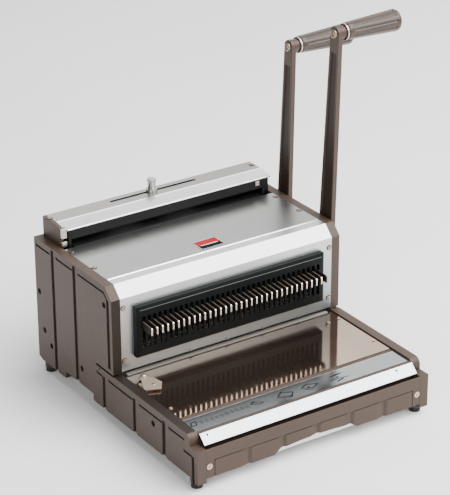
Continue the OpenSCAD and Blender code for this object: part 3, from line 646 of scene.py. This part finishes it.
def build_table():
    finish_node("mirror_panel", bevel=0.3)
    finish_node("instruction_label", bevel=0)
    build_label_marks()
    finish_node("table_trim", bevel=0.3)
    finish_node("paper_rail", bevel=0.4, material="rail_steel")
    finish_node("edge_guide", bevel=0.4)
    finish_node("guide_fittings", bevel=0.5)
    slope = Vector((0.0, -0.707, 0.707))
    for count, x in enumerate((-163.0, 144.0)):
        screw_head("trim_rivet.%d" % count, (x * MM, -0.1925, 0.07165), slope, 1.7 * MM, 0.5 * MM, 0.6,
                   slot="bright_trim", material="dark_screws")


def build_hooks():
    """The hook frame with a glint along its upper crease, and the hooks with painted highlights on their tops and
    tips, the last of them left dark all over as painted shade.
    """
    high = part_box("hook_frame")[1] / MM
    crease = high.z - 5.0
    glint = crease - 0.45, crease + 0.35
    rim = finish_node("hook_frame", bevel=0.3, cuts=[("Z", edge) for edge in glint])
    repaint(rim, "frame_glint", lambda c, n, area: n.y < -0.7 and glint[0] < c.z < glint[1] and
            abs(c.x) < high.x - 4)
    hooks = finish_node("wire_hooks", bevel=0.15, segments=1)
    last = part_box("wire_hooks")[1].x / MM - 4
    # painted highlights on the tops and tips of every hook but the last, which stays dark as painted shade
    repaint(hooks, "hook_top_highlight", lambda c, n, area: n.z > 0.5 and n.y > -0.6 and c.x < last)
    repaint(hooks, "hook_tip_highlight", lambda c, n, area: n.y < -0.6 and c.x < last)


def build_nut(node):
    """A domed nut with a round recess, turned on the lever's outer face."""
    low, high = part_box(node)
    radius, height = (high.z - low.z) / 2, high.x - low.x
    place = Matrix.Translation((high.x, (low.y + high.y) / 2, (low.z + high.z) / 2))
    turn = Vector((-1, 0, 0)).to_track_quat("Z", "Y").to_matrix().to_4x4()
    profile = [(radius, 0), (radius, height * 0.6), (radius * 0.93, height * 0.85), (radius * 0.8, height),
               (radius * 0.6, height), (radius * 0.54, height * 0.9), (radius * 0.52, height * 0.5)]
    piece = lathe(node + ".finish", profile, 48, place @ turn, BODY_OF[node], SLOT_OF[node], "nut_bronze")
    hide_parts(node)


def build_levers():
    web_x, collar_x, collar_radius, end_face = 190.3, 202.8, 9.8, 0.0002
    for side in ("punch", "closing"):
        lever = finish_node(side + "_lever", bevel=0.7, segments=3)
        # painted shade: the lever's recessed web gets a darker copy of its paint
        repaint(lever, "lever_web_shade", lambda c, n, area: abs(c.x - web_x) < 0.2 and abs(n.x) > 0.9)
        spindle = finish_node(side + "_spindle", bevel=0.35)
        middle = centre_of(side + "_nut")
        axis_y, axis_z = middle.y / MM, middle.z / MM
        repaint(spindle, "ring_steel", lambda c, n, area: c.x > collar_x and
                (area > end_face or math.hypot(c.y - axis_y, c.z - axis_z) > collar_radius))
        build_nut(side + "_nut")
        finish_node(side + "_grip", bevel=0.35)
        finish_node(side + "_shaft", bevel=0.5)


def paint_the_rest():
    for node, piece in NODES.items():
        if not piece.hide_render:
            paint_node(node)


# ---------------------------------------------------------------- stage, lights, camera

def build_stage():
    half = 12.0
    bm = bmesh.new()
    bmesh.ops.create_grid(bm, x_segments=1, y_segments=1, size=half)
    mesh = to_mesh(bm, "floor")
    mesh.materials.append(studio_floor("studio_floor"))
    floor = bpy.data.objects.new("floor", mesh)
    bpy.context.scene.collection.objects.link(floor)


def add_light(name, place, target, width, height, watts):
    data = bpy.data.lights.new(name, "AREA")
    data.shape = "RECTANGLE"
    data.size, data.size_y = width, height
    data.energy = watts
    lamp = bpy.data.objects.new(name, data)
    bpy.context.scene.collection.objects.link(lamp)
    lamp.location = place
    lamp.rotation_euler = (Vector(target) - Vector(place)).to_track_quat("-Z", "Y").to_euler()


def build_lights():
    world = bpy.data.worlds.new("studio")
    world.use_nodes = True
    background = world.node_tree.nodes["Background"]
    background.inputs["Color"].default_value = (1.0, 1.0, 1.0, 1)
    background.inputs["Strength"].default_value = 0.35
    bpy.context.scene.world = world
    middle = (0.0, 0.0, 0.12)
    add_light("overhead", (1.1, -1.1, 2.6), middle, 3.2, 3.0, 280)
    add_light("key", (-2.6, -2.4, 1.9), middle, 1.6, 1.4, 60)
    add_light("fill", (2.4, -2.6, 1.0), middle, 1.8, 1.2, 16)
    add_light("back", (2.1, 2.6, 2.5), middle, 3.2, 1.5, 50)


def build_camera():
    azimuth, elevation, roll = (math.radians(a) for a in (-33.52, 25.04, -0.32))
    distance = 2.8459
    target = Vector((-0.00322, 0.00503, 0.21872))
    back = Vector((math.sin(azimuth) * math.cos(elevation), -math.cos(azimuth) * math.cos(elevation),
                   math.sin(elevation)))
    data = bpy.data.cameras.new("camera")
    data.sensor_width = 36.0
    data.lens = 151.65
    data.clip_end = 60.0
    camera = bpy.data.objects.new("camera", data)
    bpy.context.scene.collection.objects.link(camera)
    camera.location = target + back * distance
    turn = (-back).to_track_quat("-Z", "Y").to_matrix() @ Matrix.Rotation(roll, 3, "Z")
    camera.rotation_euler = turn.to_euler()
    bpy.context.scene.camera = camera


build_camera()
build_casing()
build_closer()
build_table()
build_hooks()
build_badge()
build_screws()
build_levers()
paint_the_rest()
build_stage()
build_lights()
